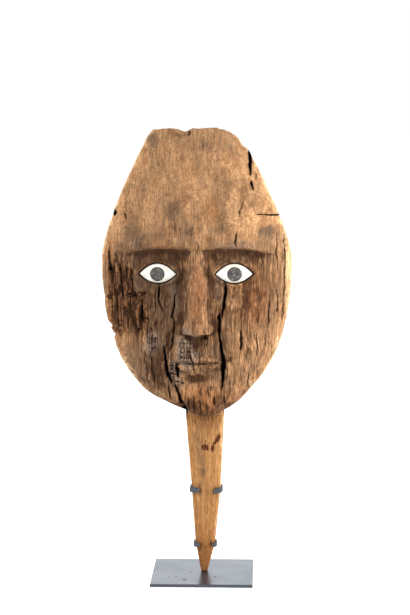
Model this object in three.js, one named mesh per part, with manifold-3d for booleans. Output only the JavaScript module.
// Carved wooden funerary mask with a long tapered tenon, inlaid shell eyes and a steel display stand.
// Millimetres, +Z up. The mask looks towards -Y, and the origin is the middle of the base plate's underside.
// Left and right are the viewer's, facing the mask.

import * as THREE from 'three';
import { mergeVertices } from 'three/addons/utils/BufferGeometryUtils.js';
import Module from 'manifold-3d';

const wasm = await Module();
wasm.setup();

// Driving dimensions

const fitGap = 0.3;                // air between pieces that touch

const plate = { width: 101.6, depth: 101.6, thickness: 3.2 };
const rod = { side: 5, x: 1, top: 150 };

const head = {
  axisX: -5,                       // the face's middle line
  footX: 3,                        // where the jaw runs out into the tenon
  top: 451.5,
  bottom: 167,
  backY: 6,                        // the flat back
  halfWidth: 94,                   // at the cheekbones
  widestAt: 0.45,                  // share of the head's height below the crown
  crownLeft: 43,                   // half widths of the truncated crown
  crownRight: 35,
  crownBow: 1.4,                   // how much the outline bows out below the crown, 1 for straight
  crownCorner: { inward: 12, share: 0.05 },  // the crown's right corner, rounded off
  chinHalfWidth: 19.4,
  crownDepth: 36,
  faceDepth: 50,
  chinDepth: 43,
  crownEdgeDepth: 22,
  edgeDepth: 24,
  jawEdgeDepth: 18,
  underChin: 6,                    // how far the chin rounds back to its underside
  chinRound: 8,                    // how far the chin's lower edge rises at the tenon's sides
  crownRiseY: 16,                  // the middle of the broken crown, a little higher than its rim
  crownRise: 1,
  frontRoundness: 2.7,
  backShare: 0.95,                 // the back's width against the front's edge
};

const tenon = {
  x: 3,
  top: 166,
  bottom: plate.thickness + fitGap,
  edgeStep: 5,                     // how far the front rounds over at the long edges
  edgeShare: 0.35,                 // the same where the tenon is thin, as a share of its depth
  frontRoundness: 5,
  // height, left edge, right edge, depth from the back
  stations: [
    { z: plate.thickness + fitGap, left: -2, right: 4.8, depth: 7 },
    { z: 34, left: -7.4, right: 12.6, depth: 13 },
    { z: 94, left: -11.2, right: 18.6, depth: 18 },
    { z: 166, left: -16.4, right: 22, depth: 24 },
  ],
};

// The face follows the usual canon: eyes half-way down, five eye widths across,
// the nose's base half-way from brow to chin, and the mouth a third of the way from nose to chin.
const headHeight = head.top - head.bottom;
const eyeWidth = (2 * head.halfWidth) / 5;
const heightAt = (share) => head.top - share * headHeight;
const face = {
  browZ: heightAt(0.42),
  eyeZ: heightAt(0.5),
  noseBaseZ: heightAt(0.71),
  mouthZ: heightAt(0.807),
  chinZ: heightAt(0.925),
  eyeX: eyeWidth,
};
const relief = { brow: 3.6, socket: 8.5, fillet: 2.2 };
const nose = {
  root: -1,
  tip: 21,
  rootFlat: 3.4,                   // half widths of the flat ridge
  tipFlat: 6.2,
  tipSwell: 1.6,
  wingX: 13,
  wingHeight: 8,
};

// Rounded swellings and hollows over the plain front, alike on both sides of the middle line
const swellings = [
  { part: 'eyelids', x: face.eyeX, z: face.eyeZ - 1, wide: 24, tall: 14, rise: 3.2 },
  { part: 'cheek', x: 49, z: face.noseBaseZ + 17, wide: 24, tall: 22, rise: 5 },
  { part: 'temple', x: 78, z: face.browZ + 18, wide: 16, tall: 26, rise: -2 },
  { part: 'muzzle', x: 0, z: face.mouthZ + 2, wide: 33, tall: 24, rise: 4 },
  { part: 'upper lip', x: 0, z: face.mouthZ + 5, wide: 20, tall: 5.4, rise: 3 },
  { part: 'lower lip', x: 0, z: face.mouthZ - 6, wide: 18, tall: 6, rise: 3.4 },
  { part: 'mouth line', x: 0, z: face.mouthZ, wide: 25, tall: 2.6, rise: -2 },
  { part: 'groove under the lip', x: 0, z: face.mouthZ - 16.5, wide: 17, tall: 5.4, rise: -2 },
  { part: 'chin', x: 0, z: face.chinZ, wide: 20, tall: 12, rise: 6.5 },
];

const eye = {
  half: eyeWidth / 2 - 0.6,
  upper: 10,
  lower: 8.6,
  thickness: 4,
  proud: 0.4,
  bevel: 0.9,
  cornerReach: 1.6,                // a pointed corner moves this much further than the edge beside it
  yaw: 0.15,                       // radians, the face plane's turn to the side at each eye
  pupilRadius: 6.6,
  pupilDepth: 2.2,
  pupilProud: 0.4,
  curveSteps: 14,
  pupilSteps: 28,
};

const strip = { thickness: 1.5, corner: 3.4, arcSteps: 5 };
const brackets = [
  { name: 'upper_bracket', z: 87.9, height: 6.5, lapLeft: 9.6, lapRight: 8.8 },
  { name: 'lower_bracket', z: 31.2, height: 5.8, lapLeft: 6.2, lapRight: 5.2 },
];

// Old splits in the wood: outline stations as x, z and the half width of the opening
const splitDepth = 14;
const cutterReach = 40;            // how far a cutter stands out of the front
const splits = [
  { path: [[24.1, 303, 0.7], [23.5, 288, 1.8], [21.1, 273, 1.9], [18.2, 262, 1.2], [18.7, 249, 1.5],
    [21.2, 222, 2.6], [20.9, 206, 0.7]] },
  { path: [[-35.5, 240, 0.6], [-33.7, 219, 1.8], [-27.9, 203, 1.2], [-20.8, 189, 1.8], [-14.8, 171, 1.4]] },
  { path: [[43.9, 431, 0.9], [45.3, 420, 2.3], [46.9, 407, 0.7]] },
  { path: [[47.7, 400.6, 0.5], [49, 396, 1.2], [50.1, 391, 0.5]] },
];
const edgeNotch = { z: 252, deep: 4, halfHeight: 8, back: 2 };

// How finely the mask is faceted, and the shares of a ring's facets on its front and sides
const mesh = { around: 56, capRows: 2, headRows: 45, ledgeRows: 2, tenonRows: 8, tipRows: 2 };
const share = { front: 0.7, side: 0.09 };
// Rows of the head against the share of its height: wide apart on the plain forehead, close on the face
const rowStations = [[0, 0], [2, 0.05], [8, 0.36], [27, 0.72], [38, 0.88], [mesh.headRows, 1]];

// Small helpers

const clamp01 = (v) => Math.min(1, Math.max(0, v));
const lerp = (a, b, k) => a + (b - a) * k;
const smooth = (a, b, v) => {
  const k = clamp01((v - a) / (b - a));
  return k * k * (3 - 2 * k);
};
const bump = (dx, dz) => Math.exp(-(dx * dx + dz * dz));
const pebble = (dx, dz) => Math.sqrt(clamp01(1 - dx * dx - dz * dz));

// The larger of two heights, with a small fillet where they meet
const softMax = (a, b, width) => {
  const k = clamp01(0.5 + (0.5 * (a - b)) / width);
  return lerp(b, a, k) + width * k * (1 - k);
};

// A travel from 0 to 1 for the facets from the middle of the front to its edge:
// close together over the nose, wider over the cheek, and slowing down round the edge
const closePart = 0.34;
const evenPart = 0.8;
const closeSpeed = 0.72;
const travel = (q) => {
  const closeReach = closePart * closeSpeed;
  const speed = (1 - closeReach) / (evenPart - closePart + (1 - evenPart) / 2);
  if (q < closePart) return closeSpeed * q;
  if (q < evenPart) return closeReach + speed * (q - closePart);
  return 1 - (speed * (1 - q) ** 2) / (2 * (1 - evenPart));
};

// Outline and depth of the head, from 0 at the crown to 1 under the chin

function headHalfWidth(t, side) {
  const wide = head.halfWidth;
  if (t < head.widestAt) {
    const crown = side < 0 ? head.crownLeft : head.crownRight;
    const down = t / head.widestAt;
    const { inward, share: cornerShare } = head.crownCorner;
    const corner = side < 0 ? 0 : inward * clamp01(1 - t / cornerShare) ** 2;
    return crown + (wide - crown) * (1 - (1 - down) ** head.crownBow) - corner;
  }
  const down = (t - head.widestAt) / (1 - head.widestAt);
  const jaw = wide * (1 - Math.min(1, down) ** 2.5) ** (1 / 1.75);
  return Math.max(jaw, head.chinHalfWidth);
}

const headMiddle = (t) => lerp(head.axisX, head.footX, smooth(0.9, 1, t));

function headDepth(t) {
  const upper = lerp(head.crownDepth, head.faceDepth, Math.sin((Math.PI / 2) * clamp01(t / 0.4)));
  const lower = lerp(head.faceDepth, head.chinDepth, smooth(0.75, 0.97, t));
  const rounding = head.underChin * (1 - Math.sqrt(1 - clamp01((t - 0.955) / 0.045) ** 2));
  return (t < 0.5 ? upper : lower) - rounding;
}

function headEdge(t) {
  const upper = lerp(head.crownEdgeDepth, head.edgeDepth, smooth(0, 0.3, t));
  return lerp(upper, head.jawEdgeDepth, smooth(0.75, 1, t));
}

// The carved face, as height over the plain front, with x from the face's middle line.
// The nose is a wedge with a flat ridge and a swollen tip between two wings, cut off square below.
function noseRelief(side, z) {
  const base = face.noseBaseZ;
  const top = face.browZ - 1;
  const down = clamp01((top - z) / (top - base));
  const ridge = lerp(nose.root, nose.tip, down ** 1.2);
  const flat = lerp(nose.rootFlat, nose.tipFlat, down);
  const slope = lerp(1, 1.9, down) * softMax(side - flat, 0, 3);
  const body = ridge + nose.tipSwell * bump(side / 7, (z - base - 8) / 8) - slope;
  const wings = 30 * pebble((side - nose.wingX) / 8.2, (z - base - 7) / 9.2) - 30 + nose.wingHeight;
  const under = (z - base + 1.5 - 0.012 * side * side) * 5;
  const above = 40 - 1.4 * Math.max(0, z - face.browZ + 2);
  return Math.min(softMax(body, wings, 1.6), under, above);
}

const browLineZ = (side) => face.browZ + 3.5 - ((side - 30) / 18) ** 2;

function faceRelief(x, z) {
  const side = Math.abs(x);
  const line = browLineZ(side);
  const between = 0.5 + 0.5 * smooth(2, 16, side);
  const brow = relief.brow * between * bump(Math.max(0, side - 40) / 26, (z - line - 5) / 8.5);
  const hollow = (1 - smooth(-4, 1, z - line)) * smooth(face.eyeZ - 38, face.eyeZ - 8, z);
  const socket = -relief.socket * hollow * (1 - smooth(54, 84, side));
  const swell = (s) => s.rise * bump((side - s.x) / s.wide, (z - s.z) / s.tall);
  const skin = swellings.reduce((sum, s) => sum + swell(s), brow + socket);
  return softMax(skin, noseRelief(side, z), relief.fillet);
}

// One closed ring round the piece. turn runs from -1 to 1, with 0 at the middle of the front.
function ringPoint(turn, ring) {
  const side = turn < 0 ? -1 : 1;
  const round = Math.abs(turn);
  const half = side < 0 ? ring.left : ring.right;
  if (round <= share.front) {
    const across = travel(round / share.front);
    const rise = Math.sqrt(1 - across ** ring.roundness);
    return { across: side * across * half, depth: ring.edge + (ring.front - ring.edge) * rise, front: 1 };
  }
  const backHalf = half * head.backShare;
  if (round <= share.front + share.side) {
    const s = (round - share.front) / share.side;
    return { across: side * lerp(half, backHalf, s ** 2), depth: ring.edge * (1 - s), front: 0 };
  }
  const s = (round - share.front - share.side) / (1 - share.front - share.side);
  return { across: side * backHalf * (1 - s), depth: 0, front: 0 };
}

const headRing = (t) => ({
  left: headHalfWidth(t, -1),
  right: headHalfWidth(t, 1),
  front: headDepth(t),
  edge: headEdge(t),
  roundness: head.frontRoundness,
});

function tenonRing(z) {
  const after = Math.max(1, tenon.stations.findIndex((s) => s.z >= z));
  const low = tenon.stations[after - 1];
  const high = tenon.stations[after];
  const k = clamp01((z - low.z) / (high.z - low.z));
  const depth = lerp(low.depth, high.depth, k);
  return {
    left: tenon.x - lerp(low.left, high.left, k),
    right: lerp(low.right, high.right, k) - tenon.x,
    front: depth,
    edge: depth - Math.min(tenon.edgeStep, depth * tenon.edgeShare),
    roundness: tenon.frontRoundness,
  };
}

function headPoint(turn, t) {
  const p = ringPoint(turn, headRing(t));
  const z = heightAt(t);
  const x = headMiddle(t) + p.across;
  const carved = p.front ? faceRelief(x - head.axisX, z) * smooth(0, 12, p.depth - headEdge(t)) : 0;
  const outward = clamp01(Math.abs(p.across) / head.chinHalfWidth);
  const lift = head.chinRound * outward ** 2 * smooth(0.93, 1, t) * smooth(18, 26, p.depth);
  return new THREE.Vector3(x, head.backY - p.depth - carved, z + lift);
}

function tenonPoint(turn, z) {
  const p = ringPoint(turn, tenonRing(z));
  return new THREE.Vector3(tenon.x + p.across, head.backY - p.depth, z);
}

function ledgePoint(turn, k) {
  const from = headPoint(turn, 1);
  return from.lerp(tenonPoint(turn, tenon.top), k);
}

function headShare(row) {
  const after = Math.max(1, rowStations.findIndex(([r]) => r >= row));
  const [[fromRow, from], [toRow, to]] = rowStations.slice(after - 1, after + 1);
  return lerp(from, to, (row - fromRow) / (toRow - fromRow));
}

// Rows from the crown's middle down to the tenon's tip
function maskPoint(turn, row) {
  let r = row;
  if (r <= mesh.capRows) {
    const rim = headPoint(turn, 0);
    const middleX = head.axisX + (head.crownRight - head.crownLeft) / 2;
    const middle = new THREE.Vector3(middleX, head.backY - head.crownRiseY, head.top + head.crownRise);
    return middle.lerp(rim, r / mesh.capRows);
  }
  r -= mesh.capRows;
  if (r <= mesh.headRows) return headPoint(turn, headShare(r));
  r -= mesh.headRows;
  if (r <= mesh.ledgeRows) return ledgePoint(turn, r / mesh.ledgeRows);
  r -= mesh.ledgeRows;
  if (r <= mesh.tenonRows) return tenonPoint(turn, lerp(tenon.top, tenon.bottom, r / mesh.tenonRows));
  r -= mesh.tenonRows;
  const [tip] = tenon.stations;
  const middle = new THREE.Vector3((tip.left + tip.right) / 2, head.backY - tip.depth / 2, tenon.bottom);
  return tenonPoint(turn, tenon.bottom).lerp(middle, r / mesh.tipRows);
}

// Geometry to solid and back

function toSolid(geometry) {
  const bare = geometry.clone();
  bare.deleteAttribute('normal');
  bare.deleteAttribute('uv');
  const merged = mergeVertices(bare, 1e-4);
  const index = Array.from(merged.index.array);
  const kept = [];
  for (let i = 0; i < index.length; i += 3) {
    const [a, b, c] = index.slice(i, i + 3);
    if (a !== b && b !== c && c !== a) kept.push(a, b, c);
  }
  return new wasm.Manifold(new wasm.Mesh({
    numProp: 3,
    vertProperties: new Float32Array(merged.attributes.position.array),
    triVerts: new Uint32Array(kept),
  }));
}

function fromSolid(solid) {
  const { vertProperties, triVerts } = solid.getMesh();
  const geometry = new THREE.BufferGeometry();
  geometry.setAttribute('position', new THREE.BufferAttribute(new Float32Array(vertProperties), 3));
  geometry.setIndex(new THREE.BufferAttribute(new Uint32Array(triVerts), 1));
  return geometry;
}

// A flat outline drawn in x and z, given depth along y: front is its -Y end
function standingPrism(shape, front, back, curveSegments = 6) {
  const options = { depth: back - front, bevelEnabled: false, curveSegments };
  const geometry = new THREE.ExtrudeGeometry(shape, options);
  geometry.rotateX(Math.PI / 2);
  geometry.translate(0, back, 0);
  return geometry;
}

// The mask with its tenon, carved from one piece of wood

function plainMaskGeometry() {
  const rows = mesh.capRows + mesh.headRows + mesh.ledgeRows + mesh.tenonRows + mesh.tipRows;
  const geometry = new THREE.SphereGeometry(1, mesh.around, rows);
  const position = geometry.attributes.position;
  const perRow = mesh.around + 1;
  for (let i = 0; i < position.count; i += 1) {
    const row = Math.floor(i / perRow);
    const step = i % perRow;
    // The first and last column are the same line up the back, and each pole is one point
    const turn = row === 0 || row === rows ? 0 : ((step % mesh.around) / mesh.around) * 2 - 1;
    const p = maskPoint(turn, row);
    position.setXYZ(i, p.x, p.y, p.z);
  }
  geometry.setIndex(mirroredFacets(rows, perRow));
  return geometry;
}

// Two triangles for each cell of the grid, with the diagonals of one half mirrored on the other
function mirroredFacets(rows, perRow) {
  const index = [];
  for (let row = 0; row < rows; row += 1) {
    for (let step = 0; step < perRow - 1; step += 1) {
      const b = row * perRow + step;
      const [a, c, d] = [b + 1, b + perRow, b + perRow + 1];
      const leftHalf = step < (perRow - 1) / 2;
      index.push(...(leftHalf ? [a, b, d, b, c, d] : [a, b, c, a, c, d]));
    }
  }
  return index;
}

function splitGeometry({ path }) {
  const shape = new THREE.Shape();
  path.forEach(([x, z, half], i) => (i ? shape.lineTo(x - half, z) : shape.moveTo(x - half, z)));
  [...path].reverse().forEach(([x, z, half]) => shape.lineTo(x + half, z));
  const [, middleZ] = path[Math.floor(path.length / 2)];
  const surface = frontY(path[0][0], middleZ);
  return standingPrism(shape, surface - cutterReach, surface + splitDepth);
}

// Where the plain front surface is, at a place on the face
function frontY(x, z) {
  const t = (head.top - z) / headHeight;
  const ring = headRing(t);
  const local = x - head.axisX;
  const half = local < 0 ? ring.left : ring.right;
  const across = Math.min(1, Math.abs(local) / half);
  const depth = ring.edge + (ring.front - ring.edge) * Math.sqrt(1 - across ** ring.roundness);
  return head.backY - depth - faceRelief(local, z);
}

// A chip out of the left edge of the front
function notchGeometry() {
  const { z, deep, halfHeight, back } = edgeNotch;
  const edgeX = head.axisX - headHalfWidth((head.top - z) / headHeight, -1);
  const shape = new THREE.Shape();
  shape.moveTo(edgeX - deep, z + halfHeight);
  shape.quadraticCurveTo(edgeX + 3 * deep, z, edgeX - deep, z - halfHeight);
  return standingPrism(shape, back - 2 * cutterReach, back);
}

// Inlaid eyes, each built level and then set into its socket

function almondShape(grow) {
  const half = eye.half + eye.cornerReach * grow;
  const shape = new THREE.Shape();
  shape.moveTo(-half, 0);
  shape.quadraticCurveTo(0, 2 * (eye.upper + grow), half, 0);
  shape.quadraticCurveTo(0, -2 * (eye.lower + grow), -half, 0);
  return shape;
}

function setIntoFace(geometry, side) {
  const x = head.axisX + side * face.eyeX;
  geometry.rotateZ(side * eye.yaw);
  geometry.translate(x, frontY(x, face.eyeZ) - eye.proud, face.eyeZ);
  return geometry;
}

function eyeShellGeometry(side) {
  const bevel = { bevelEnabled: true, bevelThickness: eye.bevel, bevelSize: eye.bevel, bevelSegments: 2 };
  const depth = eye.thickness - 2 * eye.bevel;
  const options = { depth, curveSegments: eye.curveSteps, ...bevel };
  const almond = new THREE.ExtrudeGeometry(almondShape(-eye.bevel), options);
  almond.rotateX(Math.PI / 2);
  almond.translate(0, eye.thickness - eye.bevel, 0);
  const holeRadius = eye.pupilRadius + fitGap;
  const hole = new THREE.CylinderGeometry(holeRadius, holeRadius, eye.pupilDepth * 2, eye.pupilSteps);
  return setIntoFace(fromSolid(toSolid(almond).subtract(toSolid(hole))), side);
}

function pupilGeometry(side) {
  const floor = eye.pupilDepth - fitGap;
  const height = floor + eye.pupilProud;
  const disc = new THREE.CylinderGeometry(eye.pupilRadius, eye.pupilRadius, height, eye.pupilSteps);
  disc.translate(0, floor - height / 2, 0);
  return setIntoFace(disc, side);
}

function socketGeometry(side) {
  const cutter = standingPrism(almondShape(fitGap), -cutterReach, eye.thickness + fitGap, eye.curveSteps);
  return setIntoFace(cutter, side);
}

function maskGeometry() {
  let solid = toSolid(plainMaskGeometry());
  for (const side of [-1, 1]) solid = solid.subtract(toSolid(socketGeometry(side)));
  for (const split of splits) solid = solid.subtract(toSolid(splitGeometry(split)));
  solid = solid.subtract(toSolid(notchGeometry()));
  return fromSolid(solid);
}

// A bracket: one flat steel strip bent round the tenon, with both ends lapping over its front
function bracketGeometry({ z, height, lapLeft, lapRight }) {
  const ring = tenonRing(z + height);
  const inner = {
    left: tenon.x - ring.left - fitGap,
    right: tenon.x + ring.right + fitGap,
    front: head.backY - ring.front - fitGap,
    back: head.backY + fitGap,
  };
  const w = strip.thickness;
  const r = strip.corner;
  const shape = new THREE.Shape();
  // Outer face, from the left end round the back to the right end
  shape.moveTo(inner.left + lapLeft, inner.front - w);
  shape.lineTo(inner.left - w + r, inner.front - w);
  shape.absarc(inner.left - w + r, inner.front - w + r, r, -Math.PI / 2, -Math.PI, true);
  shape.lineTo(inner.left - w, inner.back + w - r / 2);
  shape.absarc(inner.left - w + r / 2, inner.back + w - r / 2, r / 2, Math.PI, Math.PI / 2, true);
  shape.lineTo(inner.right + w - r / 2, inner.back + w);
  shape.absarc(inner.right + w - r / 2, inner.back + w - r / 2, r / 2, Math.PI / 2, 0, true);
  shape.lineTo(inner.right + w, inner.front - w + r);
  shape.absarc(inner.right + w - r, inner.front - w + r, r, 0, -Math.PI / 2, true);
  shape.lineTo(inner.right - lapRight, inner.front - w);
  // Inner face, back again
  shape.lineTo(inner.right - lapRight, inner.front);
  shape.lineTo(inner.right - r + w, inner.front);
  shape.absarc(inner.right - r + w, inner.front + r - w, r - w, -Math.PI / 2, 0, false);
  shape.lineTo(inner.right, inner.back);
  shape.lineTo(inner.left, inner.back);
  shape.lineTo(inner.left, inner.front + r - w);
  shape.absarc(inner.left + r - w, inner.front + r - w, r - w, Math.PI, Math.PI * 1.5, false);
  shape.lineTo(inner.left + lapLeft, inner.front);
  const options = { depth: height, bevelEnabled: false, curveSegments: strip.arcSteps };
  const geometry = new THREE.ExtrudeGeometry(shape, options);
  geometry.translate(0, 0, z);
  return geometry;
}

function basePlateGeometry() {
  const geometry = new THREE.BoxGeometry(plate.width, plate.depth, plate.thickness);
  geometry.translate(0, 0, plate.thickness / 2);
  return geometry;
}

function uprightGeometry() {
  const height = rod.top - plate.thickness;
  const front = head.backY + fitGap + strip.thickness;
  const geometry = new THREE.BoxGeometry(rod.side, rod.side, height);
  geometry.translate(rod.x, front + rod.side / 2, plate.thickness + height / 2);
  return geometry;
}

// Materials

const wood = new THREE.MeshStandardMaterial({ color: 0x9a7350, roughness: 0.85, metalness: 0 });
const shell = new THREE.MeshStandardMaterial({ color: 0xece8dc, roughness: 0.45, metalness: 0 });
const darkStone = new THREE.MeshStandardMaterial({ color: 0x56524e, roughness: 0.5, metalness: 0 });
const steel = new THREE.MeshStandardMaterial({ color: 0x4a5058, roughness: 0.45, metalness: 0.6 });

const object = new THREE.Group();
function addPiece(name, geometry, material) {
  const piece = new THREE.Mesh(geometry, material);
  piece.name = name;
  object.add(piece);
}

addPiece('base_plate', basePlateGeometry(), steel);
addPiece('upright', uprightGeometry(), steel);
for (const bracket of brackets) addPiece(bracket.name, bracketGeometry(bracket), steel);
addPiece('mask', maskGeometry(), wood);
for (const [name, side] of [['left', -1], ['right', 1]]) {
  addPiece(`${name}_eye_shell`, eyeShellGeometry(side), shell);
  addPiece(`${name}_pupil`, pupilGeometry(side), darkStone);
}

export default object;
